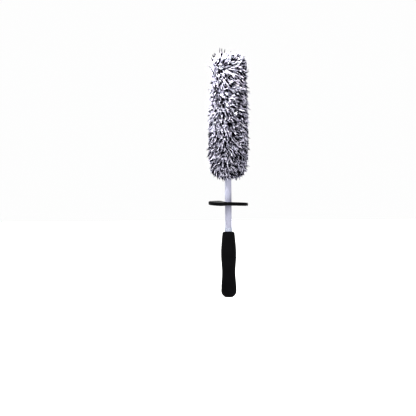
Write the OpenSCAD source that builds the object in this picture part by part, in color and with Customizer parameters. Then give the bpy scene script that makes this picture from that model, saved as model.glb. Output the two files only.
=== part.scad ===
// Wheel brush with a plush microfibre head, a round neck, a sliding splash guard and a
// moulded rubber grip. The axis of the brush is Z and the butt of the grip is at Z = 0.

/* [Grip] */
// Length of the rubber grip
grip_l = 121; // [100:1:150]
// Width across the swell at the butt end
butt_d = 28.2; // [27:0.2:36]
// Height of the rounding under the butt swell
butt_round_h = 12; // [8:0.5:16]
// Width of the flat spot that the butt rests on
butt_flat_d = 8; // [4:0.5:14]
// Width across the waist, where the little finger lies
waist_d = 24.5; // [23:0.1:29]
// Height of the waist above the butt
waist_z = 45; // [36:1:54]
// Width across the belly, which fills the palm
belly_d = 27.8; // [26:0.1:33]
// Height of the belly above the butt
belly_z = 76; // [64:1:88]
// Width across the shoulder at the top of the grip
shoulder_d = 22.2; // [21:0.2:27]
// Rounding of the shoulder
shoulder_round = 4; // [3:0.5:6]
// Thickness of rubber under the handle core
grip_floor = 5.5; // [4:0.5:8]
// Thickness of the rubber lip over the handle core
grip_lip = 3; // [2:0.5:4]

/* [Handle core] */
// Wall of the plastic tube inside the grip
core_wall = 2.5; // [1.8:0.1:2.8]
// How far each of the barbs on the handle core bites into the rubber
barb_h = 0.7; // [0.4:0.1:0.8]
// Number of barbs
barb_n = 4; // [2:1:6]
// Distance between barbs
barb_pitch = 9; // [6:0.5:10]
// Thickness of the end plug's flange
plug_flange_t = 2; // [1.5:0.5:3]
// Length of the end plug's stem
plug_stem_l = 10; // [6:1:14]
// Width of the steel pin that locks the rod and neck in the handle core
pin_d = 3; // [2:0.5:3.5]
// Height of that pin above the foot of the neck and rod
pin_lift = 20; // [12:1:35]

/* [Neck] */
// Outside width of the neck tube
neck_d = 12; // [10:0.5:14.5]
// Length of neck that shows between the grip and the head
neck_show = 100; // [70:1:130]
// Width of the rod inside the neck
rod_d = 6; // [4:0.5:7.5]
// How deep the neck and the rod reach into the grip, measured down from its mouth
neck_socket = 81; // [65:1:95]
// Wall of the collar round the foot of the neck
ferrule_wall = 0.6; // [0.5:0.1:1]
// Height of the collar above the grip
ferrule_show = 7.5; // [4:0.5:12]
// Depth of the collar inside the handle
ferrule_in = 11; // [6:1:16]

/* [Splash guard] */
// Width of the rubber disc
guard_d = 73; // [60:1:100]
// Thickness of the disc
guard_t = 6; // [3:0.5:7]
// Rounding of the disc's rim
guard_rim_round = 1.4; // [0.8:0.1:1.45]
// Height of the disc's underside above the grip, at rest
guard_lift = 48.4; // [20:1:55]

/* [Head core] */
// Width of the foam body
foam_d = 36; // [30:1:44]
// Rounding of the foam's top edge
foam_round = 5; // [2:0.5:5.5]
// Thickness of the flange under the foam
flange_t = 3; // [2:0.5:4]
// Width of the flange's boss, inside the foam
boss_d = 18; // [17.5:0.5:22]
// Height of the boss
boss_h = 12; // [8:1:16]
// Width of the rubber tip cap
tip_d = 22; // [18:0.5:25]
// Height of the tip cap's dome
tip_h = 6; // [4:0.5:8]
// Width of the tip cap's stem
tip_stem_d = 11; // [10:0.5:14]
// Length of the tip cap's stem
tip_stem_l = 14; // [10:1:18]
// Rubber between the end of the rod and the top of the foam
tip_floor = 4; // [3:0.5:6]

/* [Plush cover] */
// Length of the plush head, over the pile
head_l = 229; // [180:1:280]
// Width of the plush head, over the pile
head_d = 74; // [65:1:90]
// Rounding of the pile at the top of the head
pile_top_round = 18; // [12:0.5:22]
// Rounding of the pile at the bottom of the head
pile_base_round = 14; // [6:0.5:15]
// Thickness of the knitted backing
backing_t = 1.2; // [0.8:0.1:1.6]
// Height of the folded hem
hem_h = 6.5; // [5.5:0.5:9]
// Thickness of the folded hem, with its elastic
hem_t = 2.6; // [2.4:0.1:3.4]
// Thickness of the hem's cloth
hem_cloth = 0.6; // [0.4:0.1:0.8]
// Width of the side seam
seam_w = 5; // [3:0.5:8]
// Thickness of the side seam
seam_t = 0.8; // [0.5:0.1:1.2]
// Width of the crown seam's cord of stitches
crown_seam_d = 1.4; // [1:0.1:2]

/* [Clearances] */
// Gap between pieces that are fixed together
fit_gap = 0.05; // [0.02:0.01:0.1]
// Gap between the neck and the splash guard's bore
guard_gap = 0.05; // [0.02:0.01:0.1]
// Gap between the cover and what it slides off
cover_gap = 0.4; // [0.3:0.1:0.8]
// Gap round the locking pin
pin_gap = 0.02; // [0.01:0.01:0.05]

/* [Hidden] */
$fn = 96;

PROFILE_STEPS = 14; // straight steps in each eased stretch of the grip's outline
PAST = 1;           // how far a cut runs past the face that it opens

// Handle
neck_r = neck_d / 2;
rod_r = rod_d / 2;
ferrule_r = neck_r + fit_gap + ferrule_wall;
core_bore_r = neck_r + fit_gap;
core_r = core_bore_r + core_wall;
core_z0 = grip_floor + plug_flange_t;
core_z1 = grip_l - grip_lip;
neck_z0 = grip_l - neck_socket;
pin_z = neck_z0 + pin_lift;
shoulder_z = grip_l - shoulder_round;
barb_z0 = core_z0 + barb_pitch;

// Neck and guard
ferrule_z0 = grip_l - ferrule_in;
ferrule_z1 = grip_l + ferrule_show;
guard_z0 = grip_l + guard_lift;

// Head, worked out from the pile's outer shape inwards
head_z0 = grip_l + neck_show;
head_z1 = head_z0 + head_l;
hem_z0 = head_z0 + cover_gap;
hem_z1 = hem_z0 + hem_h;
pile_split_z = head_z1 - pile_top_round;
crown_z0 = pile_split_z - backing_t;
tip_top_z = crown_z0 - cover_gap;
foam_z1 = tip_top_z - tip_h;
flange_z0 = hem_z1 - flange_t;
foam_z0 = flange_z0 + flange_t;
boss_z1 = foam_z0 + boss_h;
rod_z1 = foam_z1 - tip_floor;
foam_r = foam_d / 2;
boss_r = boss_d / 2;
tip_stem_r = tip_stem_d / 2;
cover_in_r = foam_r + cover_gap;
backing_r = cover_in_r + backing_t;
hem_r = cover_in_r + hem_t;
pile_r = head_d / 2;

// A ring about Z, from radius r0 to radius r1 and from height z0 to height z1
module ring(r0, r1, z0, z1) {
    translate([0, 0, z0])
        difference() {
            cylinder(r = r1, h = z1 - z0);
            translate([0, 0, -PAST]) cylinder(r = r0, h = z1 - z0 + 2 * PAST);
        }
}

// A round bar about Z
module bar(r, z0, z1) {
    translate([0, 0, z0]) cylinder(r = r, h = z1 - z0);
}

// The locking pin's cylinder across the handle, which also drills its holes
module cross_pin(r, l) {
    translate([0, 0, pin_z]) rotate([0, 90, 0]) cylinder(r = r, h = l, center = true);
}

// 0 to 1 along a half wave, level at both ends
function eased(t) = (1 - cos(180 * t)) / 2;

// Points of a stretch of outline from radius a at height z0 to radius b at height z1
function eased_stretch(a, b, z0, z1) =
    [for (i = [1:PROFILE_STEPS]) let (t = i / PROFILE_STEPS)
        [a + (b - a) * eased(t), z0 + (z1 - z0) * t]];

// The outline of the grip, from the middle of the butt to the mouth
function grip_outline() = concat(
    [[0, 0], [butt_flat_d / 2, 0]],
    [for (i = [1:PROFILE_STEPS]) let (a = 90 * i / PROFILE_STEPS)
        [butt_flat_d / 2 + (butt_d - butt_flat_d) / 2 * sin(a), butt_round_h * (1 - cos(a))]],
    eased_stretch(butt_d / 2, waist_d / 2, butt_round_h, waist_z),
    eased_stretch(waist_d / 2, belly_d / 2, waist_z, belly_z),
    [for (i = [1:PROFILE_STEPS]) let (t = i / PROFILE_STEPS)
        [shoulder_d / 2 + (belly_d - shoulder_d) / 2 * cos(90 * t),
         belly_z + (shoulder_z - belly_z) * t]],
    [for (i = [1:PROFILE_STEPS]) let (a = 90 * i / PROFILE_STEPS)
        [shoulder_d / 2 - shoulder_round * (1 - cos(a)), shoulder_z + shoulder_round * sin(a)]],
    [[0, grip_l]]
);

// The barbs round the handle core, each a cone that points down into the grip
module barbs(gap) {
    for (i = [0:barb_n - 1])
        translate([0, 0, barb_z0 + i * barb_pitch])
            cylinder(r1 = core_r + gap, r2 = core_r + barb_h + gap, h = 2 * barb_h);
}

module grip() {
    color("#17171a")
        difference() {
            rotate_extrude() polygon(grip_outline());
            bar(core_r + fit_gap, grip_floor, core_z1);
            barbs(fit_gap);
            bar(ferrule_r + fit_gap, core_z1 - PAST, grip_l + PAST);
        }
}

module handle_core() {
    color("#2b2b2e")
        difference() {
            union() {
                bar(core_r, core_z0, core_z1);
                barbs(0);
            }
            bar(core_bore_r, core_z0 - PAST, core_z1 + PAST);
            bar(ferrule_r + fit_gap, ferrule_z0, core_z1 + PAST);
            cross_pin(pin_d / 2 + pin_gap, 2 * core_r + 2 * PAST);
        }
}

module handle_plug() {
    color("#2b2b2e")
        union() {
            bar(core_r, grip_floor, core_z0);
            bar(neck_r, core_z0, core_z0 + plug_stem_l);
        }
}

// The pin stops where its edges meet the outside of the core, so that it stays out of the grip
module locking_pin() {
    color("#b9bcc0") cross_pin(pin_d / 2, 2 * sqrt(pow(core_r, 2) - pow(pin_d / 2, 2)));
}

module core_rod() {
    color("#b9bcc0")
        difference() {
            bar(rod_r, neck_z0, rod_z1);
            cross_pin(pin_d / 2 + pin_gap, rod_d + 2 * PAST);
        }
}

module neck_tube() {
    color("#bcbccf")
        difference() {
            ring(rod_r + fit_gap, neck_r, neck_z0, boss_z1);
            cross_pin(pin_d / 2 + pin_gap, neck_d + 2 * PAST);
        }
}

module neck_ferrule() {
    color("#c2c6d8")
        difference() {
            union() {
                bar(ferrule_r, ferrule_z0, ferrule_z1 - ferrule_wall);
                translate([0, 0, ferrule_z1 - ferrule_wall])
                    cylinder(r1 = ferrule_r, r2 = neck_r + 2 * fit_gap, h = ferrule_wall);
            }
            bar(neck_r + fit_gap, ferrule_z0 - PAST, ferrule_z1 + PAST);
        }
}

// A flat disc with a rounded rim and a plain bore
module splash_guard() {
    guard_r = guard_d / 2;
    color("#141416")
        translate([0, 0, guard_z0])
            rotate_extrude()
                difference() {
                    union() {
                        square([guard_r - guard_rim_round, guard_t]);
                        translate([0, guard_rim_round])
                            square([guard_r, guard_t - 2 * guard_rim_round]);
                        for (z = [guard_rim_round, guard_t - guard_rim_round])
                            translate([guard_r - guard_rim_round, z]) circle(r = guard_rim_round);
                    }
                    translate([0, -PAST]) square([neck_r + guard_gap, guard_t + 2 * PAST]);
                }
}

module base_flange() {
    color("#2b2b2e")
        difference() {
            union() {
                bar(foam_r, flange_z0, foam_z0);
                bar(boss_r, foam_z0, boss_z1);
            }
            bar(neck_r + fit_gap, flange_z0 - PAST, boss_z1 + PAST);
        }
}

module foam_core() {
    color("#3a3a3f")
        difference() {
            rotate_extrude()
                union() {
                    translate([0, foam_z0]) square([foam_r, foam_z1 - foam_round - foam_z0]);
                    translate([0, foam_z0]) square([foam_r - foam_round, foam_z1 - foam_z0]);
                    intersection() {
                        translate([foam_r - foam_round, foam_z1 - foam_round])
                            circle(r = foam_round);
                        translate([0, foam_z1 - foam_round]) square([foam_r, foam_round]);
                    }
                }
            bar(boss_r + fit_gap, foam_z0 - PAST, boss_z1 + fit_gap);
            bar(rod_r + fit_gap, boss_z1, foam_z1);
            bar(tip_stem_r + fit_gap, foam_z1 - tip_stem_l - fit_gap, foam_z1 + PAST);
        }
}

// A mushroom of soft rubber: its stem holds the end of the rod and its dome covers the foam
module tip_cap() {
    dome_r = (pow(tip_d / 2, 2) + pow(tip_h, 2)) / (2 * tip_h);
    color("#1f1f22")
        difference() {
            union() {
                bar(tip_stem_r, foam_z1 - tip_stem_l, foam_z1 + fit_gap);
                intersection() {
                    translate([0, 0, tip_top_z - dome_r]) sphere(r = dome_r);
                    bar(tip_d / 2, foam_z1, tip_top_z);
                }
            }
            bar(rod_r + fit_gap, foam_z1 - tip_stem_l - PAST, rod_z1 + fit_gap);
        }
}

module cover_backing() {
    color("#8d8d96") ring(cover_in_r, backing_r, hem_z1, crown_z0);
}

module crown_panel() {
    color("#8d8d96") bar(backing_r, crown_z0, pile_split_z);
}

// The round cord of stitches that joins the crown panel to the backing
module crown_seam_shape(gap) {
    translate([0, 0, pile_split_z + crown_seam_d / 2])
        rotate_extrude()
            translate([backing_r - crown_seam_d / 2, 0]) circle(r = crown_seam_d / 2 + gap);
}

module crown_seam() {
    color("#5c5c64") crown_seam_shape(0);
}

// The seam allowance along the back of the backing. The gap keeps the pile off it.
module side_seam_shape(gap) {
    intersection() {
        ring(backing_r, backing_r + seam_t + gap, hem_z1, crown_z0);
        translate([-seam_w / 2 - gap, 0, hem_z1])
            cube([seam_w + 2 * gap, backing_r + seam_t + PAST, crown_z0 - hem_z1]);
    }
}

module side_seam() {
    color("#5c5c64") side_seam_shape(0);
}

module hem_channel() {
    color("#74747d")
        difference() {
            ring(cover_in_r, hem_r, hem_z0, hem_z1);
            ring(cover_in_r + hem_cloth, hem_r - hem_cloth, hem_z0 + hem_cloth, hem_z1 - hem_cloth);
        }
}

module hem_elastic() {
    inset = hem_cloth + fit_gap;
    color("#e4e4e8") ring(cover_in_r + inset, hem_r - inset, hem_z0 + inset, hem_z1 - inset);
}

// The pile round the side of the head, with a rounded bottom edge
module pile_side() {
    color("#9a9aa6")
        difference() {
            rotate_extrude()
                union() {
                    translate([0, head_z0 + pile_base_round])
                        square([pile_r, pile_split_z - head_z0 - pile_base_round]);
                    translate([0, head_z0]) square([pile_r - pile_base_round, pile_split_z - head_z0]);
                    intersection() {
                        translate([pile_r - pile_base_round, head_z0 + pile_base_round])
                            circle(r = pile_base_round);
                        translate([0, head_z0]) square([pile_r, pile_base_round]);
                    }
                }
            bar(hem_r + fit_gap, head_z0 - PAST, hem_z1);
            bar(backing_r + fit_gap, hem_z1 - PAST, pile_split_z + PAST);
            side_seam_shape(fit_gap);
        }
}

// The pile over the top of the head, a cap with a rounded edge
module pile_crown() {
    color("#a6a6b2")
        difference() {
            rotate_extrude()
                union() {
                    translate([0, pile_split_z]) square([pile_r - pile_top_round, pile_top_round]);
                    intersection() {
                        translate([pile_r - pile_top_round, pile_split_z]) circle(r = pile_top_round);
                        translate([0, pile_split_z]) square([pile_r, pile_top_round]);
                    }
                }
            crown_seam_shape(fit_gap);
        }
}

grip();
handle_core();
handle_plug();
locking_pin();
core_rod();
neck_tube();
neck_ferrule();
splash_guard();
base_flange();
foam_core();
tip_cap();
cover_backing();
crown_panel();
crown_seam();
side_seam();
hem_channel();
hem_elastic();
pile_side();
pile_crown();
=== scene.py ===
import math
import random

import bmesh
import bpy
import numpy as np
from mathutils import Matrix, Vector, noise


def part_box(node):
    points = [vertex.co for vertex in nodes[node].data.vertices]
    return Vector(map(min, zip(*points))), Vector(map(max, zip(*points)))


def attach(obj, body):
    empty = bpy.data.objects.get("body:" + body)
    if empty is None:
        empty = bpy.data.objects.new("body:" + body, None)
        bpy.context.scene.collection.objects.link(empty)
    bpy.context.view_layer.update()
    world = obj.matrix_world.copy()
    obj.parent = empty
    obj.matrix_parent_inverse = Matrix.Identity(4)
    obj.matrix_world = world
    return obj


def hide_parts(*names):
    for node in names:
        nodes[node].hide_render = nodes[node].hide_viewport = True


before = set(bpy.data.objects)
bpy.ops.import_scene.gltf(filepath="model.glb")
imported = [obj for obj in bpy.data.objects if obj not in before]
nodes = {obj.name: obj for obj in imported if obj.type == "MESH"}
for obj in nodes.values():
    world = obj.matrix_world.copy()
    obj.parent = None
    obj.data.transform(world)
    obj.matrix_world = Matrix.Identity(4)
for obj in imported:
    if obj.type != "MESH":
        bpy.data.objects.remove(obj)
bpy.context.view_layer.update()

# Camera. It stands level, a good way off, in front of the neck and a little to the left of
# the brush, and it leans by less than a degree.
eye_height = 0.165
eye_sideways = -0.0376
eye_distance = 2.5
view_width = 0.770
eye_lean = math.radians(-0.4)
sensor_width = 36

camera_data = bpy.data.cameras.new("camera")
camera_data.sensor_width = sensor_width
camera_data.lens = sensor_width * eye_distance / view_width
camera = bpy.data.objects.new("camera", camera_data)
camera.matrix_world = (
    Matrix.Translation((eye_sideways, -eye_distance, eye_height))
    @ Matrix.Rotation(math.radians(90), 4, "X")
    @ Matrix.Rotation(eye_lean, 4, "Z")
)
bpy.context.scene.collection.objects.link(camera)
bpy.context.scene.camera = camera


# Studio. A white floor runs out to a white surround. A soft key lamp hangs at the upper left
# with three small ones for the head, its crown and its edge, and large ones light it from
# behind and fill in from the right.
floor_width = 30
surround_light = 0.52
surround_seen = 0.58
floor_glow = 0.36
floor_grey = 0.9


def soft_lamp(name, place, aim, width, power, spread=180):
    lamp_data = bpy.data.lights.new(name, "AREA")
    lamp_data.shape = "DISK"
    lamp_data.size = width
    lamp_data.energy = power
    lamp_data.spread = math.radians(spread)
    lamp = bpy.data.objects.new(name, lamp_data)
    lamp.location = place
    beam = Vector(aim) - Vector(place)
    lamp.rotation_euler = beam.to_track_quat("-Z", "Y").to_euler()
    lamp.visible_camera = False
    bpy.context.scene.collection.objects.link(lamp)


soft_lamp("key_lamp", place=(-0.32, -1.2, 0.55), aim=(0, 0, 0.3), width=0.8, power=4.7)
soft_lamp("head_lamp", place=(-0.36, -0.4, 0.95), aim=(0, 0, 0.45), width=0.2, power=0.62,
          spread=26)
soft_lamp("crown_lamp", place=(-0.34, -0.22, 0.78), aim=(0.01, 0, 0.47), width=0.1, power=0.26,
          spread=42)
soft_lamp("edge_lamp", place=(-0.7, 0.1, 0.7), aim=(0, 0, 0.45), width=0.3, power=0.5,
          spread=44)
soft_lamp("back_lamp", place=(0.7, 1.9, 1.1), aim=(0, 0, 0.3), width=1.2, power=16)
soft_lamp("fill_lamp", place=(1.6, -1.8, 0.6), aim=(0, 0, 0.2), width=1.4, power=9.5)

floor_mesh = bmesh.new()
bmesh.ops.create_grid(floor_mesh, x_segments=1, y_segments=1, size=floor_width / 2)
floor_data = bpy.data.meshes.new("floor")
floor_mesh.to_mesh(floor_data)
floor_mesh.free()
floor = bpy.data.objects.new("floor", floor_data)
floor_white = bpy.data.materials.new("floor_white")
floor_white.use_nodes = True
floor_shader = floor_white.node_tree.nodes["Principled BSDF"]
floor_shader.inputs["Base Color"].default_value = (floor_grey, floor_grey, floor_grey, 1)
floor_shader.inputs["Roughness"].default_value = 0.9
floor_shader.inputs["Emission Color"].default_value = (1, 1, 1, 1)
floor_shader.inputs["Emission Strength"].default_value = floor_glow
floor_data.materials.append(floor_white)
bpy.context.scene.collection.objects.link(floor)

surround = bpy.data.worlds.new("surround")
surround.use_nodes = True
surround_nodes = surround.node_tree.nodes
surround_links = surround.node_tree.links
surround_glow = surround_nodes["Background"]
surround_glow.inputs["Color"].default_value = (1, 1, 1, 1)
ray_kind = surround_nodes.new("ShaderNodeLightPath")
seen_or_lit = surround_nodes.new("ShaderNodeMix")
seen_or_lit.inputs["A"].default_value = surround_light
seen_or_lit.inputs["B"].default_value = surround_seen
surround_links.new(ray_kind.outputs["Is Camera Ray"], seen_or_lit.inputs["Factor"])
surround_links.new(seen_or_lit.outputs["Result"], surround_glow.inputs["Strength"])
bpy.context.scene.world = surround
bpy.context.scene.view_settings.view_transform = "Standard"
bpy.context.scene.view_settings.look = "Very High Contrast"


# Grip. It is one moulding of soft black rubber, pulled over the barbed plastic core. Its
# outline swells at the butt and at the palm, and the mould left a faint line down each side.
grip_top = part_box("grip")[1].z
grip_butt_r = 0.0141
grip_butt_flat_r = 0.004
grip_butt_round = 0.012
grip_waist_r = 0.01225
grip_waist_z = 0.045
grip_belly_r = 0.0139
grip_belly_z = 0.076
grip_shoulder_r = 0.0111
grip_shoulder_round = 0.004
grip_bore_r = 0.0086
grip_mouth_r = 0.00675
grip_floor_z = 0.0055
grip_lip = 0.003
grip_outer_margin = 0.001
mould_line_h = 0.00012
mould_line_low = grip_butt_round / 3
grip_steps = 144
stretch_steps = 20

full_turn = 2 * math.pi
quarter_turn = math.pi / 2
weld_distance = 1e-6
near_enough = 1e-5


def lathe(outline, steps, sweep=full_turn):
    """A bmesh turned about Z from (radius, height) points that run up the outside."""
    turned = bmesh.new()
    points = [turned.verts.new((r, 0, z)) for r, z in outline]
    edges = [turned.edges.new(pair) for pair in zip(points, points[1:])]
    bmesh.ops.spin(turned, geom=points + edges, axis=(0, 0, 1), cent=(0, 0, 0),
                   angle=sweep, steps=steps, use_merge=sweep == full_turn)
    bmesh.ops.remove_doubles(turned, verts=turned.verts, dist=weld_distance)
    bmesh.ops.recalc_face_normals(turned, faces=turned.faces)
    return turned


def finished_piece(name, body, shape, material, crease=math.radians(40)):
    """Makes the object of a bmesh, smooth but for its creases, and lets it ride on a body."""
    mesh = bpy.data.meshes.new(name)
    shape.to_mesh(mesh)
    shape.free()
    mesh.shade_smooth()
    mesh.set_sharp_from_angle(angle=crease)
    mesh.materials.append(material)
    piece = bpy.data.objects.new(name, mesh)
    bpy.context.scene.collection.objects.link(piece)
    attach(piece, body)
    return piece


class Finish:
    """A material with a principled shader, and short ways to add the nodes it is made of."""

    def __init__(self, name, roughness, specular=0.5, metallic=0.0):
        self.material = bpy.data.materials.new(name)
        self.material.use_nodes = True
        self.tree = self.material.node_tree
        self.shader = self.tree.nodes["Principled BSDF"]
        self.place = self.add("ShaderNodeTexCoord").outputs["Object"]
        self.shader.inputs["Roughness"].default_value = roughness
        self.shader.inputs["Specular IOR Level"].default_value = specular
        self.shader.inputs["Metallic"].default_value = metallic

    def add(self, kind, **settings):
        """A new node of a kind, with its settings."""
        node = self.tree.nodes.new(kind)
        for key, value in settings.items():
            setattr(node, key, value)
        return node

    def feed(self, socket, value):
        """Links a socket to another one, or sets it to a plain value."""
        if isinstance(value, bpy.types.NodeSocket):
            self.tree.links.new(value, socket)
        else:
            socket.default_value = value

    def stretched(self, x, y, z):
        """Object coordinates, scaled along each axis."""
        mapping = self.add("ShaderNodeMapping")
        self.feed(mapping.inputs["Vector"], self.place)
        mapping.inputs["Scale"].default_value = (x, y, z)
        return mapping.outputs["Vector"]

    def grain(self, vector, scale, detail, roughness=0.55):
        """Cloudy noise, from fine to coarse."""
        node = self.add("ShaderNodeTexNoise")
        self.feed(node.inputs["Vector"], vector)
        node.inputs["Scale"].default_value = scale
        node.inputs["Detail"].default_value = detail
        node.inputs["Roughness"].default_value = roughness
        return node.outputs["Fac"]

    def cells(self, vector, scale):
        """Rounded cells, as a value that grows away from the middle of each."""
        node = self.add("ShaderNodeTexVoronoi")
        self.feed(node.inputs["Vector"], vector)
        node.inputs["Scale"].default_value = scale
        return node.outputs["Distance"]

    def math(self, operation, a, b=0.0):
        """The result of one sum on two values."""
        node = self.add("ShaderNodeMath", operation=operation)
        self.feed(node.inputs[0], a)
        self.feed(node.inputs[1], b)
        return node.outputs[0]

    def ramp(self, value, *stops):
        """A value turned into a colour, by stops of a position and a colour each."""
        node = self.add("ShaderNodeValToRGB")
        self.feed(node.inputs["Fac"], value)
        marks = node.color_ramp.elements
        while len(marks) < len(stops):
            marks.new(0.5)
        for mark, (at, colour) in zip(marks, stops):
            mark.position = at
            mark.color = (*colour, 1)
        return node.outputs["Color"]

    def span(self, value, low, high):
        """A value from 0 to 1, stretched to run from low to high."""
        node = self.add("ShaderNodeMapRange")
        self.feed(node.inputs["Value"], value)
        node.inputs["To Min"].default_value = low
        node.inputs["To Max"].default_value = high
        return node.outputs["Result"]

    def across(self):
        """The X and the Y of the object coordinates, as two values."""
        parts = self.add("ShaderNodeSeparateXYZ")
        self.feed(parts.inputs[0], self.place)
        return parts.outputs["X"], parts.outputs["Y"]

    def round_about(self, radius):
        """The way round the axis, in metres at a radius, and the height, as two values."""
        parts = self.add("ShaderNodeSeparateXYZ")
        self.feed(parts.inputs[0], self.place)
        turn = self.math("ARCTAN2", parts.outputs["Y"], parts.outputs["X"])
        return self.math("MULTIPLY", turn, radius), parts.outputs["Z"]

    def wave(self, value, pitch):
        """Rises to 1 and falls to 0 once in each pitch of a value."""
        swing = self.math("SINE", self.math("MULTIPLY", value, full_turn / pitch))
        return self.math("MULTIPLY", self.math("ADD", swing, 1.0), 0.5)

    def colour(self, value):
        self.feed(self.shader.inputs["Base Color"], value)

    def rough(self, value):
        self.feed(self.shader.inputs["Roughness"], value)

    def relief(self, height, depth):
        """Bump, with the height of its relief in metres."""
        node = self.add("ShaderNodeBump")
        node.inputs["Distance"].default_value = depth
        self.feed(node.inputs["Height"], height)
        self.feed(self.shader.inputs["Normal"], node.outputs["Normal"])


def eased(t):
    """A share from 0 to 1, made to start and end gently."""
    return (1 - math.cos(math.pi * t)) / 2


def held(value, low=0, high=1):
    """A value, held between two limits."""
    return min(max(value, low), high)


def quarter_arc(steps):
    """The angles of a quarter turn, in equal steps."""
    return [quarter_turn * i / steps for i in range(steps + 1)]


def grip_outline():
    """The grip's wall, up its outside, over its mouth and down its bore."""
    quarter = quarter_arc(stretch_steps)
    steps = [i / stretch_steps for i in range(1, stretch_steps + 1)]
    butt = [(grip_butt_flat_r + (grip_butt_r - grip_butt_flat_r) * math.sin(a),
             grip_butt_round * (1 - math.cos(a))) for a in quarter]
    waist = [(grip_butt_r + (grip_waist_r - grip_butt_r) * eased(t),
              grip_butt_round + (grip_waist_z - grip_butt_round) * t) for t in steps]
    belly = [(grip_waist_r + (grip_belly_r - grip_waist_r) * eased(t),
              grip_waist_z + (grip_belly_z - grip_waist_z) * t) for t in steps]
    shoulder_z = grip_top - grip_shoulder_round
    upper = [(grip_shoulder_r + (grip_belly_r - grip_shoulder_r) * math.cos(quarter_turn * t),
              grip_belly_z + (shoulder_z - grip_belly_z) * t) for t in steps]
    shoulder = [(grip_shoulder_r - grip_shoulder_round * (1 - math.cos(a)),
                 shoulder_z + grip_shoulder_round * math.sin(a)) for a in quarter
                if grip_shoulder_r - grip_shoulder_round * (1 - math.cos(a)) > grip_mouth_r]
    inside = [(grip_mouth_r, grip_top), (grip_mouth_r, grip_top - grip_lip),
              (grip_bore_r, grip_top - grip_lip), (grip_bore_r, grip_floor_z), (0, grip_floor_z)]
    return [(0, 0)] + butt + waist + belly + upper + shoulder[1:] + inside


grip_shape = lathe(grip_outline(), grip_steps)
for vert in grip_shape.verts:
    r = math.hypot(vert.co.x, vert.co.y)
    on_outside = r > grip_bore_r + grip_outer_margin
    on_parting = abs(vert.co.y) < near_enough
    if on_outside and on_parting and mould_line_low < vert.co.z < grip_top - grip_lip:
        vert.co.x += math.copysign(mould_line_h, vert.co.x)

grip_rubber = Finish("grip_rubber", roughness=0.6, specular=0.1)
handling = grip_rubber.grain(grip_rubber.place, scale=55, detail=4)
grip_rubber.colour(grip_rubber.ramp(handling, (0.3, (0.01, 0.0095, 0.011)),
                                    (0.75, (0.0165, 0.016, 0.018))))
grip_rubber.rough(grip_rubber.span(handling, low=0.5, high=0.72))
stipple = grip_rubber.cells(grip_rubber.place, scale=2600)
grip_rubber.relief(stipple, depth=0.00006)
grip = finished_piece("grip_sleeve", "handle", grip_shape, grip_rubber.material)
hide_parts("grip")


# Handle core. A black glass-filled plastic tube and its end plug are sealed inside the grip,
# and a steel pin goes across them to lock the rod and the neck.
core_plastic = Finish("core_plastic", roughness=0.45)
core_flow = core_plastic.grain(core_plastic.stretched(1, 1, 0.3), scale=240, detail=5)
core_plastic.colour(core_plastic.ramp(core_flow, (0.3, (0.02, 0.02, 0.022)),
                                      (0.7, (0.036, 0.036, 0.04))))
core_plastic.rough(core_plastic.span(core_flow, low=0.36, high=0.55))
core_plastic.relief(core_flow, depth=0.00003)


def give(node, finish):
    """Dresses a part that keeps its own mesh."""
    nodes[node].data.materials.clear()
    nodes[node].data.materials.append(finish.material)


give("handle_core", core_plastic)
give("handle_plug", core_plastic)

# Rod and pin. The rod is drawn steel wire that stiffens the brush from the grip to its tip,
# and the pin is cut from the same kind of wire.
drawn_steel = Finish("drawn_steel", roughness=0.3, metallic=1.0)
draw_marks = drawn_steel.grain(drawn_steel.stretched(1, 1, 0.02), scale=2400, detail=3)
drawn_steel.colour(drawn_steel.ramp(draw_marks, (0.3, (0.42, 0.43, 0.45)),
                                    (0.7, (0.66, 0.67, 0.7))))
drawn_steel.rough(drawn_steel.span(draw_marks, low=0.22, high=0.4))
drawn_steel.relief(draw_marks, depth=0.00002)
give("core_rod", drawn_steel)
give("locking_pin", drawn_steel)


# Neck. It is an extruded tube of pale lavender grey plastic over the rod, with the faint
# lines of the die along it and fine scuffs from the guard.
neck_plastic = Finish("neck_plastic", roughness=0.42, specular=0.45)
die_lines = neck_plastic.grain(neck_plastic.stretched(1, 1, 0.015), scale=1500, detail=2)
scuffs = neck_plastic.grain(neck_plastic.stretched(1, 1, 3), scale=160, detail=6, roughness=0.7)
neck_plastic.colour(neck_plastic.ramp(scuffs, (0.25, (0.292, 0.294, 0.356)),
                                      (0.75, (0.342, 0.344, 0.41))))
neck_plastic.rough(neck_plastic.span(scuffs, low=0.34, high=0.52))
neck_plastic.relief(die_lines, depth=0.00003)
give("neck_tube", neck_plastic)

# Collar. A short sleeve of the same plastic, a shade bluer, closes the mouth of the grip
# round the foot of the neck. Its upper edge is rounded over.
collar_low, collar_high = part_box("neck_ferrule")
collar_r = collar_high.x
collar_bore_r = 0.00605
collar_wall = collar_r - collar_bore_r
collar_round = (0.3, 0.6, 0.9, 1.2, 1.5)
collar_steps = 96
collar_shape = lathe(
    [(collar_bore_r, collar_low.z), (collar_r, collar_low.z),
     (collar_r, collar_high.z - collar_wall)]
    + [(collar_r - collar_wall * (1 - math.cos(a)),
        collar_high.z - collar_wall * (1 - math.sin(a))) for a in collar_round]
    + [(collar_bore_r, collar_high.z), (collar_bore_r, collar_low.z)], collar_steps)
collar_plastic = Finish("collar_plastic", roughness=0.38, specular=0.5)
collar_flow = collar_plastic.grain(collar_plastic.place, scale=420, detail=4)
collar_plastic.colour(collar_plastic.ramp(collar_flow, (0.3, (0.295, 0.309, 0.367)),
                                          (0.7, (0.338, 0.352, 0.412))))
collar_plastic.rough(collar_plastic.span(collar_flow, low=0.32, high=0.46))
collar_plastic.relief(collar_flow, depth=0.00002)
collar = finished_piece("neck_collar", "handle", collar_shape,
                        collar_plastic.material)
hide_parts("neck_ferrule")


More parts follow.
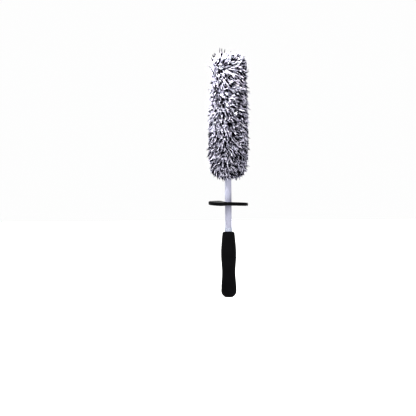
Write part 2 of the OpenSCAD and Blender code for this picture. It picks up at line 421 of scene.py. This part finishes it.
# Splash guard. A soft disc of black rubber is punched from sheet and pushed on to the neck.
# It has taken a slight set, so that its left side stands up a little at the back.
guard_low, guard_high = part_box("splash_guard")
guard_r = guard_high.x
guard_bore_r = 0.00605
guard_rim_round = 0.0014
guard_set = 0.003
guard_set_reach = 0.42
guard_set_front = 0.35
guard_tilt = 0.001
guard_rings = 14
guard_rim_steps = 6
guard_steps = 144


def guard_outline():
    """The disc's section, out under it, round its rim and back over it."""
    face = [guard_bore_r + (guard_r - guard_rim_round - guard_bore_r) * i / guard_rings
            for i in range(guard_rings + 1)]
    rim = quarter_arc(guard_rim_steps)
    under = [(r, guard_low.z) for r in face]
    under_rim = [(guard_r - guard_rim_round * (1 - math.sin(a)),
                  guard_low.z + guard_rim_round * (1 - math.cos(a))) for a in rim[1:]]
    over_rim = [(guard_r - guard_rim_round * (1 - math.cos(a)),
                 guard_high.z - guard_rim_round * (1 - math.sin(a))) for a in rim]
    over = [(r, guard_high.z) for r in reversed(face[:-1])]
    return under + under_rim + over_rim + over + under[:1]


guard_shape = lathe(guard_outline(), guard_steps)
for vert in guard_shape.verts:
    leftness = eased(held(-vert.co.x / guard_r / guard_set_reach))
    backness = (vert.co.y / guard_r + guard_set_front) / (1 + guard_set_front)
    vert.co.z += guard_set * leftness * backness - guard_tilt * vert.co.x / guard_r

guard_rubber = Finish("guard_rubber", roughness=0.5, specular=0.13)
guard_cloud = guard_rubber.grain(guard_rubber.place, scale=70, detail=5)
guard_dust = guard_rubber.grain(guard_rubber.place, scale=900, detail=2)
guard_rubber.colour(guard_rubber.ramp(guard_cloud, (0.3, (0.004, 0.004, 0.0045)),
                                      (0.75, (0.01, 0.01, 0.011))))
guard_rubber.rough(guard_rubber.span(guard_cloud, low=0.4, high=0.6))
guard_rubber.relief(guard_dust, depth=0.00005)
guard = finished_piece("guard_disc", "guard", guard_shape, guard_rubber.material)
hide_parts("splash_guard")


# Head core. A black flange and boss is moulded on the neck, a charcoal foam body is bonded to
# it, and a soft rubber cap on the end of the rod keeps the rod off the wheel.
give("base_flange", core_plastic)

foam_low, foam_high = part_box("foam_core")
foam_r = foam_high.x
foam_round = 0.005
foam_hole_r = 0.00555
foam_hole_depth = 0.014
boss_hole_r = 0.00905
boss_hole_depth = 0.01205
rod_hole_r = 0.00305
foam_rows = 60
foam_round_steps = 6
foam_steps = 96
foam_dent_depth = 0.00018
foam_dents = 90
foam_side = foam_high.z - foam_round - foam_low.z
cap_floor = foam_high.z - foam_hole_depth
boss_roof = foam_low.z + boss_hole_depth
foam_outline = (
    [(boss_hole_r, foam_low.z)]
    + [(foam_r, foam_low.z + foam_side * i / foam_rows) for i in range(foam_rows + 1)]
    + [(foam_r - foam_round * (1 - math.cos(a)), foam_high.z - foam_round * (1 - math.sin(a)))
       for a in quarter_arc(foam_round_steps)[1:]]
    + [(foam_hole_r, foam_high.z), (foam_hole_r, cap_floor), (rod_hole_r, cap_floor),
       (rod_hole_r, boss_roof), (boss_hole_r, boss_roof), (boss_hole_r, foam_low.z)]
)
foam_shape = lathe(foam_outline, foam_steps)
for vert in foam_shape.verts:
    if math.hypot(vert.co.x, vert.co.y) > foam_r - near_enough:
        dent = abs(foam_dent_depth * noise.noise(vert.co * foam_dents))
        vert.co.x -= dent * vert.co.x / foam_r
        vert.co.y -= dent * vert.co.y / foam_r
cell_foam = Finish("cell_foam", roughness=0.88, specular=0.15)
pores = cell_foam.cells(cell_foam.place, scale=1500)
pore_cloud = cell_foam.grain(cell_foam.place, scale=60, detail=4)
# Partly painted shade: the foam darkens in the pits of its pores, which the relief sinks, and
# partly at random with the cloud.
cell_foam.colour(cell_foam.ramp(cell_foam.math("MULTIPLY", pores, pore_cloud),
                                (0.05, (0.012, 0.012, 0.014)), (0.5, (0.036, 0.036, 0.041))))
cell_foam.relief(pores, depth=0.0004)
foam = finished_piece("foam_body", "handle", foam_shape, cell_foam.material)
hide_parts("foam_core")

tip_rubber = Finish("tip_rubber", roughness=0.55, specular=0.4)
tip_flow = tip_rubber.grain(tip_rubber.place, scale=350, detail=4)
tip_rubber.colour(tip_rubber.ramp(tip_flow, (0.3, (0.012, 0.012, 0.013)),
                                  (0.7, (0.026, 0.026, 0.03))))
tip_rubber.relief(tip_flow, depth=0.00004)
give("tip_cap", tip_rubber)


# Knit tube. The cover's ground is a warp knit in grey polyester, cut as one rectangle and sewn
# into a tube that stretches over the foam. Its ribs run along the head.
knit_low, knit_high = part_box("cover_backing")
knit_r = knit_high.x
knit_t = 0.0012
knit_inner_r = knit_r - knit_t
wale_count = 110
wale_depth = 0.00012
knit_rows = 10
loop_pitch = 0.0009
loop_lag = 0.0004


def push_out(vert, r, push):
    """Moves a point at radius r away from the axis."""
    vert.co.x += push * vert.co.x / r
    vert.co.y += push * vert.co.y / r


def ringed(outline, steps, relief):
    """A lathe of a closed outline, each point pushed out by relief(turn, radius, height)."""
    shape = lathe(outline + outline[:1], steps)
    for vert in shape.verts:
        r = math.hypot(vert.co.x, vert.co.y)
        push_out(vert, r, relief(math.atan2(vert.co.y, vert.co.x), r, vert.co.z))
    return shape


def upright(r_in, r_out, z0, z1, steps):
    """A closed rectangle for a ring's wall, in steps up both of its faces."""
    rise = [z0 + (z1 - z0) * i / steps for i in range(steps + 1)]
    return [(r_out, z) for z in rise] + [(r_in, z) for z in reversed(rise)]


def wales(turn, r, z):
    """The knit's ribs, which stand out on its face and in on its back by the same amount."""
    side = 1 if r > (knit_r + knit_inner_r) / 2 else -1
    return side * wale_depth * math.cos(turn * wale_count)


def knitted(cloth, across, along, wale_pitch):
    """Dresses a cloth in knit, from a value that runs across its ribs and one along them."""
    wale = cloth.wave(across, wale_pitch)
    loop_along = cloth.math("ADD", along, cloth.math("MULTIPLY", wale, loop_lag))
    loops = cloth.math("MULTIPLY", wale, cloth.wave(loop_along, loop_pitch))
    # Painted shade: the colour darkens where the loops sink, in the hollows between them, and the
    # same loops set the relief.
    cloth.colour(cloth.ramp(loops, (0.0, (0.07, 0.07, 0.085)), (0.55, (0.22, 0.22, 0.26)),
                            (1.0, (0.3, 0.3, 0.35))))
    cloth.relief(loops, depth=0.00025)


knit_cloth = Finish("knit_cloth", roughness=0.9, specular=0.15)
knitted(knit_cloth, *knit_cloth.round_about(knit_r), wale_pitch=full_turn * knit_r / wale_count)
knit_wall = upright(knit_inner_r, knit_r, knit_low.z, knit_high.z, knit_rows)
knit_shape = ringed(knit_wall, wale_count * 4, wales)
knit_tube = finished_piece("knit_tube", "cover", knit_shape, knit_cloth.material)
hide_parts("cover_backing")

# Crown round. A disc of the same knit closes the top of the tube. It is pulled over the foam's
# rounded end, so it lies a little higher in the middle.
round_low, round_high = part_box("crown_panel")
round_dome = 0.0006
round_rim_z = round_high.z - 0.0002
round_rings = 24
round_steps = 120
round_wale_pitch = 0.0011
round_shape = lathe(
    [(knit_r * i / round_rings, round_low.z) for i in range(round_rings + 1)]
    + [(knit_r * i / round_rings, round_rim_z + round_dome * (1 - (i / round_rings) ** 2))
       for i in range(round_rings, -1, -1)], round_steps)
round_cloth = Finish("round_cloth", roughness=0.9, specular=0.15)
knitted(round_cloth, *round_cloth.across(), wale_pitch=round_wale_pitch)
crown_round = finished_piece("crown_round", "cover", round_shape,
                             round_cloth.material)
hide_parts("crown_panel")

# Seams. Grey polyester thread overlocks the tube's edges down the back, and whips the round to
# the top of the tube. Each stitch is a loop of twisted thread.
thread_r = 0.00022
thread_sides = 6
stitch_pitch = 0.0021
stitch_points = 8
fine_weld = 1e-7
whip_share = 1.6
overlock_sink = 0.00012
seam_low, seam_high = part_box("side_seam")
seam_half = seam_high.x
seam_t = seam_high.y - knit_r
crown_cord_low, crown_cord_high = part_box("crown_seam")
crown_cord_r = (crown_cord_high.z - crown_cord_low.z) / 2
crown_cord_z = crown_cord_low.z + crown_cord_r
crown_cord_at = crown_cord_high.x - crown_cord_r

thread = Finish("thread", roughness=0.7, specular=0.25)
thread_twist = thread.grain(thread.place, scale=3500, detail=1)
thread.colour(thread.ramp(thread_twist, (0.3, (0.07, 0.07, 0.085)), (0.7, (0.15, 0.15, 0.18))))
thread.relief(thread_twist, depth=0.00005)


def round_curve(name, radius, sides):
    """An empty curve whose lines become round threads with closed ends."""
    curve = bpy.data.curves.new(name, "CURVE")
    curve.dimensions = "3D"
    curve.bevel_depth = radius
    curve.bevel_resolution = (sides - 4) // 2
    curve.use_fill_caps = True
    return curve


def tube_mesh(curve):
    """The mesh of a bevelled curve, without the UV maps that the curve gives it."""
    holder = bpy.data.objects.new(curve.name + "_run", curve)
    bpy.context.scene.collection.objects.link(holder)
    depsgraph = bpy.context.evaluated_depsgraph_get()
    mesh = bpy.data.meshes.new_from_object(holder.evaluated_get(depsgraph))
    bpy.data.objects.remove(holder)
    while mesh.uv_layers:
        mesh.uv_layers.remove(mesh.uv_layers[0])
    return mesh


def threaded(name, body, runs, closed=False):
    """Sewing thread along runs of points, as one mesh."""
    curve = round_curve(name, thread_r, thread_sides)
    for run in runs:
        spline = curve.splines.new("POLY")
        spline.points.add(len(run) - 1)
        spline.points.foreach_set("co", [n for p in run for n in (p[0], p[1], p[2], 1)])
        spline.use_cyclic_u = closed
    mesh = tube_mesh(curve)
    shape = bmesh.new()
    shape.from_mesh(mesh)
    bpy.data.meshes.remove(mesh)
    bmesh.ops.remove_doubles(shape, verts=shape.verts, dist=fine_weld)
    return finished_piece(name, body, shape, thread.material, crease=math.radians(60))


def round_stitches():
    """One thread that winds round the edge of the crown."""
    count = round(full_turn * crown_cord_at / stitch_pitch * whip_share)
    wind = crown_cord_r - thread_r
    run = []
    for i in range(count * stitch_points):
        turn = full_turn * i / (count * stitch_points)
        a = full_turn * i / stitch_points
        r = crown_cord_at + wind * math.cos(a)
        run.append((r * math.cos(turn), r * math.sin(turn), crown_cord_z + wind * math.sin(a)))
    return run


def side_stitches():
    """The overlock's thread, looping from edge to edge of the allowance as it climbs."""
    count = round((seam_high.z - seam_low.z) / stitch_pitch)
    foot = seam_low.z + 2 * thread_r
    height = seam_high.z - seam_low.z - 4 * thread_r
    run = []
    for i in range(count * stitch_points):
        a = full_turn * i / stitch_points
        reach = (seam_half - 2 * thread_r) * math.cos(a)
        lift = knit_r + seam_t - thread_r - overlock_sink * (1 - math.sin(a))
        turn = quarter_turn - reach / knit_r
        climb = foot + height * i / (count * stitch_points)
        run.append((lift * math.cos(turn), lift * math.sin(turn), climb))
    return run


crown_stitches = threaded("crown_stitches", "cover", [round_stitches()],
                          closed=True)
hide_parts("crown_seam")
seam_stitches = threaded("seam_stitches", "cover", [side_stitches()])
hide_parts("side_seam")
seam_arc = seam_half / knit_r
allowance_foot = knit_r + 0.0001
allowance_top = knit_r + seam_t - 2.2 * thread_r
allowance_rows = 40
allowance_steps = 8
allowance_line = upright(allowance_foot, allowance_top, seam_low.z, seam_high.z, allowance_rows)
allowance_shape = lathe(allowance_line + allowance_line[:1], allowance_steps, sweep=2 * seam_arc)
bmesh.ops.rotate(allowance_shape, verts=allowance_shape.verts,
                 matrix=Matrix.Rotation(quarter_turn - seam_arc, 3, "Z"))
allowance_ends = [edge for edge in allowance_shape.edges if edge.is_boundary]
bmesh.ops.holes_fill(allowance_shape, edges=allowance_ends, sides=0)
bmesh.ops.recalc_face_normals(allowance_shape, faces=allowance_shape.faces)
allowance = finished_piece("seam_allowance", "cover", allowance_shape,
                           knit_cloth.material)
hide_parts("side_seam")

# Hem. A woven tape is folded over the elastic and sewn to the foot of the tube with two rows of
# stitches, and the elastic gathers it in small folds.
hem_low, hem_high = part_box("hem_channel")
hem_r = hem_high.x
hem_tape_t = 0.0006
hem_corner = 0.0009
hem_corner_steps = 5
hem_rows = 8
hem_steps = 384
hem_folds = 32
hem_fold_depth = 0.00022
hem_inner_r = knit_inner_r
hem_stitch_pitch = stitch_pitch * 1.3
hem_stitch_share = 0.76
hem_stitch_dive = 0.0003
hem_row_inset = 0.0012


def gathers(turn, r, z):
    """How far the gathered tape stands in or out of its place."""
    if r < (hem_inner_r + hem_r) / 2:
        return 0
    fold = turn * hem_folds
    ruck = math.cos(fold) + 0.5 * math.cos(fold + 2.1 + math.sin(turn * 5))
    belly = math.sin(math.pi * (z - hem_low.z) / (hem_high.z - hem_low.z))
    return hem_fold_depth * (ruck / 1.5 - 1) * (0.4 + 0.6 * belly)


def rounded_ring(r_in, r_out, z0, z1, corner, rows):
    """A closed rectangle with rounded corners, anticlockwise from its lower inner corner."""
    corners = ((r_out - corner, z0 + corner, -90), (r_out - corner, z1 - corner, 0),
               (r_in + corner, z1 - corner, 90), (r_in + corner, z0 + corner, 180))
    outline = []
    for centre_r, centre_z, start in corners:
        arc = [math.radians(start + 90 * i / hem_corner_steps)
               for i in range(hem_corner_steps + 1)]
        outline += [(centre_r + corner * math.cos(a), centre_z + corner * math.sin(a))
                    for a in arc]
        if start == -90:
            rise = z1 - z0 - 2 * corner
            outline += [(r_out, z0 + corner + rise * i / rows) for i in range(1, rows)]
    return outline


hem_section = rounded_ring(hem_inner_r, hem_r, hem_low.z, hem_high.z, hem_corner, hem_rows)
hem_shape = ringed(hem_section, hem_steps, gathers)
bmesh.ops.recalc_face_normals(hem_shape, faces=hem_shape.faces)
bmesh.ops.solidify(hem_shape, geom=hem_shape.faces[:], thickness=hem_tape_t)
hem_tape = Finish("hem_tape", roughness=0.8, specular=0.2)
tape_turn, tape_rise = hem_tape.round_about(hem_r)
tape_slant = hem_tape.math("ADD", tape_turn, tape_rise)
tape_weave = hem_tape.math("ADD", hem_tape.wave(tape_slant, pitch=0.0007),
                           hem_tape.wave(tape_rise, pitch=0.0005))
tape_height = hem_tape.math("MULTIPLY", tape_weave, 0.5)
# Painted shade: the tape's colour darkens where its weave sinks, and the same weave sets the
# relief.
hem_tape.colour(hem_tape.ramp(tape_height, (0.1, (0.05, 0.05, 0.062)),
                              (0.9, (0.15, 0.15, 0.18))))
hem_tape.relief(tape_height, depth=0.00016)
hem_fold = finished_piece("hem_fold", "cover", hem_shape, hem_tape.material)
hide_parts("hem_channel")


def hem_row(z):
    """The stitches of one row, each a short run that dives at both ends."""
    count = round(full_turn * hem_r / hem_stitch_pitch)
    runs = []
    for i in range(count):
        run = []
        for along in (0, 0.25, 0.5, 0.75, 1):
            turn = full_turn * (i + (1 - hem_stitch_share) / 2 + hem_stitch_share * along) / count
            dive = hem_stitch_dive * (2 * along - 1) ** 4
            r = hem_r + gathers(turn, hem_r, z) + thread_r * 0.5 - dive
            run.append((r * math.cos(turn), r * math.sin(turn), z))
        runs.append(run)
    return runs


hem_stitch_rows = hem_row(hem_low.z + hem_row_inset) + hem_row(hem_high.z - hem_row_inset)
hem_stitches = threaded("hem_stitches", "cover", hem_stitch_rows)
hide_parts("hem_channel")

# Elastic. A flat braid of white covered rubber lies inside the hem, with nine cords side by
# side. It draws the hem in over the flange.
elastic_low, elastic_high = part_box("hem_elastic")
elastic_t = elastic_high.x - hem_inner_r - (hem_r - elastic_high.x)
elastic_cords = 9
elastic_groove = 0.00012
elastic_rows = 54
elastic_steps = 96
elastic_band = Finish("elastic_band", roughness=0.7, specular=0.25)
band_turn, band_rise = elastic_band.round_about(elastic_high.x)
braid = elastic_band.math("MULTIPLY", elastic_band.wave(band_turn, pitch=0.0008),
                          elastic_band.wave(band_rise, pitch=0.00058))
# Painted shade: the braid's colour darkens in the hollows of the braid, and the same braid sets
# the relief.
elastic_band.colour(elastic_band.ramp(braid, (0.0, (0.4, 0.4, 0.43)),
                                      (0.6, (0.72, 0.72, 0.75))))
elastic_band.relief(braid, depth=0.00012)


def cords(turn, r, z):
    """The grooves between the elastic's cords, on both of its faces."""
    side = 1 if r > elastic_high.x - elastic_t / 2 else -1
    across_band = (z - elastic_low.z) / (elastic_high.z - elastic_low.z)
    return -side * elastic_groove * (1 - abs(math.sin(math.pi * elastic_cords * across_band)))


elastic_wall = upright(elastic_high.x - elastic_t, elastic_high.x, elastic_low.z, elastic_high.z,
                       elastic_rows)
elastic_shape = ringed(elastic_wall, elastic_steps, cords)
elastic = finished_piece("elastic_braid", "cover", elastic_shape,
                         elastic_band.material)
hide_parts("hem_elastic")


# Pile. Split microfibre in two yarns, a navy that is almost black and a pale lavender, is
# tufted through the knit. Each tuft is a lock of strands that stand out from the backing,
# then bend over and lie down the head towards the handle.
side_low, side_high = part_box("pile_side")
head_r = side_high.x
head_low = side_low.z
head_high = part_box("pile_crown")[1].z
top_round = 0.025
base_round = 0.019
pile_depth = 0.0138
base_hole_r = 0.0145
root_min_r = 0.0222
root_min_z = 0.2295
crown_floor = crown_cord_high.z + 0.0002
pile_aside = 0.0009
body_slim = 0.02
top_slim = 0.065
slim_from = 0.32
slim_over = 0.07
base_slim = 0.12
base_slim_from = 0.27
top_flat = head_r - top_round
top_arc = top_round * quarter_turn
side_run = (head_high - top_round) - (head_low + base_round)
base_arc = base_round * quarter_turn
base_flat = head_r - base_round - base_hole_r
skin_length = top_flat + top_arc + side_run + base_arc + base_flat


def upper_part(z):
    """0 up to the middle of the head, and 1 from a little above it."""
    return eased(held((z - slim_from) / slim_over))


def skin(s):
    """The pile's outline at a distance s down it from the crown: radius, height and slope."""
    r, z, slope = straight_skin(held(s, 0, skin_length))
    slim = body_slim + top_slim * upper_part(z)
    slim += base_slim * eased(held((base_slim_from - z) / (base_slim_from - head_low)))
    return r * (1 - slim), z, slope


def straight_skin(s):
    """The same, before the head's slight narrowing towards its ends."""
    if s < top_flat:
        return s, head_high, 0
    s -= top_flat
    if s < top_arc:
        a = s / top_round
        return top_flat + top_round * math.sin(a), head_high - top_round * (1 - math.cos(a)), a
    s -= top_arc
    if s < side_run:
        return head_r, head_high - top_round - s, quarter_turn
    s -= side_run
    if s < base_arc:
        a = s / base_round
        return (head_r - base_round * (1 - math.cos(a)),
                head_low + base_round * (1 - math.sin(a)), quarter_turn + a)
    s -= base_arc
    return head_r - base_round - s, head_low, math.pi


def on_skin(s, turn, lift):
    """The point at distance s and angle turn, raised off the skin by lift."""
    r, z, slope = skin(s)
    r += lift * math.sin(slope)
    z += lift * math.cos(slope)
    aside = pile_aside * (1 + upper_part(z))
    return Vector((r * math.cos(turn) + aside, r * math.sin(turn), z))


def root_of(s, turn):
    """Where the tuft under a point of the skin is tied, clear of the knit and the hem."""
    root = on_skin(s, turn, -pile_depth)
    r = math.hypot(root.x, root.y)
    if root.z < crown_floor and r < root_min_r:
        root.x = root_min_r * math.cos(turn)
        root.y = root_min_r * math.sin(turn)
    root.z = max(root.z, root_min_z)
    return root


# A tuft's strands start at one root, turn over at an elbow and end near the skin, each a little
# apart from the next. They lie the way that the pile was last combed, in swirls, and a few stray.
tuft_pitch = 0.0025
tuft_jitter = 0.35
tuft_strands = 2
tuft_lean = (0.0075, 0.0145)
tuft_min_r = 0.012
combed = [(0.23, Vector((0.1, 0, -1))), (0.30, Vector((0.3, 0, -0.9))),
          (0.34, Vector((0.6, 0, -0.75))), (0.40, Vector((0.7, 0, -0.6))),
          (0.43, Vector((0.75, -0.1, 0.65)))]
comb_drift = 0.025
comb_drifts = 30
comb_jitter = 0.006
sway_swirl = 1.2
sway_swirls = 28
sway_jitter = 0.35
tip_lift = (-0.0008, 0.0014)
tip_sag = 0.0025
elbow_at = 0.3
elbow_depth = (0.25, 0.5)
elbow_jitter = 0.03
stray_share = 0.05
stray_lift = (0.002, 0.006)
loose_share = 0.5
loose_way = Vector((-0.004, 0, 0.007))
loose_zone = 0.012
strand_points = 6
strand_sides = 6
strand_r = 0.00067
strand_taper = [0.8, 1.0, 1.05, 1.0, 0.95, 0.45]
strand_scatter = 0.0004
strand_reach = (-0.25, 0.1)
strand_wave = 7
yarn_kept = 0.93
dark_tones = (0.02, 0.3)
pale_tones = (0.66, 0.98)
core_keep_r = 0.0212
core_keep_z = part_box("base_flange")[0].z - 0.0011
core_keep_top = root_min_z + 0.01
draw = random.Random(77)


def scatter():
    """A small random step in any direction."""
    return Vector([draw.gauss(0, strand_scatter) for _ in range(3)])


def combed_way(z):
    """The way the pile was last brushed at a height."""
    for (low, way), (high, next_way) in zip(combed, combed[1:]):
        if z < high:
            return way.lerp(next_way, held((z - low) / (high - low)))
    return combed[-1][1]


def clear_of_core(p):
    """A point of a strand, lowered where it would stand in the flange or the foam's foot."""
    if core_keep_z < p.z < core_keep_top and math.hypot(p.x, p.y) < core_keep_r:
        p.z = core_keep_z
    return p


def tuft(s, turn, dark):
    """The strands of one tuft, as pairs of points and a tone from 0, dark, to 1, pale."""
    r, z, slope = skin(s)
    here = on_skin(s, turn, 0)
    down = Vector((math.cos(slope) * math.cos(turn), math.cos(slope) * math.sin(turn),
                   -math.sin(slope)))
    across = Vector((-math.sin(turn), math.cos(turn), 0))
    way = combed_way(z + comb_drift * noise.noise(here * comb_drifts)
                     + draw.gauss(0, comb_jitter))
    sway = math.atan2(across.dot(way), down.dot(way))
    swirl = noise.noise(here * sway_swirls + Vector((3, 1, 7))) * sway_swirl
    sway += swirl + draw.gauss(0, sway_jitter)
    lean = draw.uniform(*tuft_lean)
    stray = draw.random() < stray_share
    tip_s = s + lean * math.cos(sway)
    tip_turn = turn + lean * math.sin(sway) / max(r, tuft_min_r)
    lift = draw.uniform(*stray_lift) if stray else draw.gauss(*tip_lift)
    tip = on_skin(tip_s, tip_turn, lift)
    if tip_s > skin_length:
        tip.z -= draw.uniform(0, tip_sag)
    root = root_of(s, turn)
    elbow_turn = turn + elbow_at * (tip_turn - turn) + draw.gauss(0, elbow_jitter)
    elbow = on_skin(s + elbow_at * (tip_s - s), elbow_turn,
                    -pile_depth * draw.uniform(*elbow_depth))
    loose = stray and z > head_high - loose_zone and here.x < 0
    if loose and draw.random() < loose_share:
        tip += loose_way * draw.uniform(0.3, 1)
    strands = []
    for _ in range(tuft_strands):
        a = root + scatter()
        b = elbow + scatter()
        c = tip + scatter() + (tip - elbow) * draw.uniform(*strand_reach)
        wave = scatter()
        points = []
        for i in range(strand_points):
            t = i / (strand_points - 1)
            p = a * (1 - t) ** 2 + b * 2 * t * (1 - t) + c * t * t
            points.append(clear_of_core(p + wave * math.sin(t * strand_wave)))
        is_dark = dark if draw.random() < yarn_kept else not dark
        strands.append((points, draw.uniform(*(dark_tones if is_dark else pale_tones))))
    return strands


def strand_piece(name, strands):
    """Makes one mesh of many strands, with the tone and the way along each in its UV map."""
    curve = round_curve(name, strand_r, strand_sides)
    for points, tone in strands:
        spline = curve.splines.new("POLY")
        spline.points.add(strand_points - 1)
        spline.points.foreach_set("co", [n for p in points for n in (p.x, p.y, p.z, 1)])
        spline.points.foreach_set("radius", strand_taper)
    mesh = tube_mesh(curve)
    per_strand = len(mesh.vertices) // len(strands)
    corner_vert = np.empty(len(mesh.loops), int)
    mesh.loops.foreach_get("vertex_index", corner_vert)
    tones = np.array([tone for points, tone in strands])
    ring = per_strand // strand_points
    along = (corner_vert % per_strand) // ring / (strand_points - 1)
    uv = np.stack([tones[corner_vert // per_strand], 0.02 + 0.96 * along], axis=1)
    layer = mesh.uv_layers.new(name="OFBake")
    layer.data.foreach_set("uv", uv.astype(np.float32).ravel())
    welded = bmesh.new()
    welded.from_mesh(mesh)
    bmesh.ops.remove_doubles(welded, verts=welded.verts, dist=fine_weld)
    welded.to_mesh(mesh)
    welded.free()
    mesh.shade_smooth()
    mesh.name = name
    piece = bpy.data.objects.new(name, mesh)
    bpy.context.scene.collection.objects.link(piece)
    mesh.materials.append(microfibre.material)
    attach(piece, "cover")
    return piece


microfibre = Finish("microfibre", roughness=0.85, specular=0.1)
tone_map = microfibre.add("ShaderNodeUVMap", uv_map="OFBake")
tone_split = microfibre.add("ShaderNodeSeparateXYZ")
microfibre.feed(tone_split.inputs[0], tone_map.outputs["UV"])
yarn = microfibre.ramp(tone_split.outputs["X"],
                       (0.0, (0.002, 0.002, 0.004)), (0.32, (0.009, 0.009, 0.017)),
                       (0.58, (0.46, 0.45, 0.54)), (0.8, (0.74, 0.73, 0.82)),
                       (1.0, (0.88, 0.87, 0.94)))
# Painted shade: each strand is darkened towards its root, deep in the pile where shade falls, and
# keeps its own tone at the tip.
shade = microfibre.ramp(tone_split.outputs["Y"], (0.0, (0.12, 0.12, 0.13)),
                        (0.45, (0.5, 0.5, 0.52)), (0.85, (1, 1, 1)))
shaded_yarn = microfibre.add("ShaderNodeMix", data_type="RGBA", blend_type="MULTIPLY")
shaded_yarn.inputs["Factor"].default_value = 1
microfibre.feed(shaded_yarn.inputs["A"], yarn)
microfibre.feed(shaded_yarn.inputs["B"], shade)
microfibre.colour(shaded_yarn.outputs["Result"])

crown_reach = top_flat + top_arc * 0.6
side_sectors = 8
sectors = {}
s = tuft_pitch / 2
row = 0
while s < skin_length:
    around = max(1, round(full_turn * max(skin(s)[0], 0.001) / tuft_pitch))
    for i in range(around):
        turn = full_turn * (i + draw.uniform(-tuft_jitter, tuft_jitter)) / around
        spread = s + draw.uniform(-tuft_jitter, tuft_jitter) * tuft_pitch
        sector = "crown"
        if s >= crown_reach:
            sector = int((turn % full_turn) / full_turn * side_sectors)
        in_dark_yarn = (i + 3 * row) % 7 in (0, 2, 4)
        sectors.setdefault(sector, []).extend(tuft(spread, turn, in_dark_yarn))
    s += tuft_pitch
    row += 1
for sector, strands in sectors.items():
    if sector == "crown":
        piece = strand_piece("pile_crown_tufts", strands)
        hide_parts("pile_crown")
    else:
        piece = strand_piece(f"pile_side_tufts_{sector + 1}", strands)
        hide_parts("pile_side")

# Roots. Under the strands the pile is so dense that it reads as one bed, which sits on
# the knit all round and over the crown's seam. The roots of both yarns lie in shadow there, so
# the bed is painted near black, as painted shade over the roots.
bed_inner_r = 0.0207
bed_rows = 60
bed_steps = 192
bed_lump_h = 0.0012
bed_lumps = 300
bed_lumpy_r = 0.0225
bed_outline = [(0, head_high - pile_depth)]
for i in range(bed_rows + 1):
    root = root_of(skin_length * i / bed_rows, 0)
    bed_outline.append((max(root.x, 0.0001), root.z))
bed_outline += [(bed_inner_r, root_min_z), (bed_inner_r, crown_floor), (0, crown_floor)]
bed_shape = lathe(bed_outline, bed_steps)
for vert in bed_shape.verts:
    r = math.hypot(vert.co.x, vert.co.y)
    if r > bed_lumpy_r:
        push_out(vert, r, bed_lump_h * noise.noise(vert.co * bed_lumps))
shadowed_root_fibre = Finish("shadowed_root_fibre", roughness=0.9, specular=0.1)
bed_noise = shadowed_root_fibre.grain(shadowed_root_fibre.place, scale=700, detail=3)
# Painted shade: the roots are coloured near black for the shadow that lies under the strands.
shadowed_root_fibre.colour(shadowed_root_fibre.ramp(bed_noise, (0.35, (0.01, 0.01, 0.016)), (0.7, (0.1, 0.1, 0.12))))
shadowed_root_fibre.relief(bed_noise, depth=0.0006)
bed = finished_piece("shadowed_pile_roots", "cover", bed_shape, shadowed_root_fibre.material)
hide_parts("pile_side")
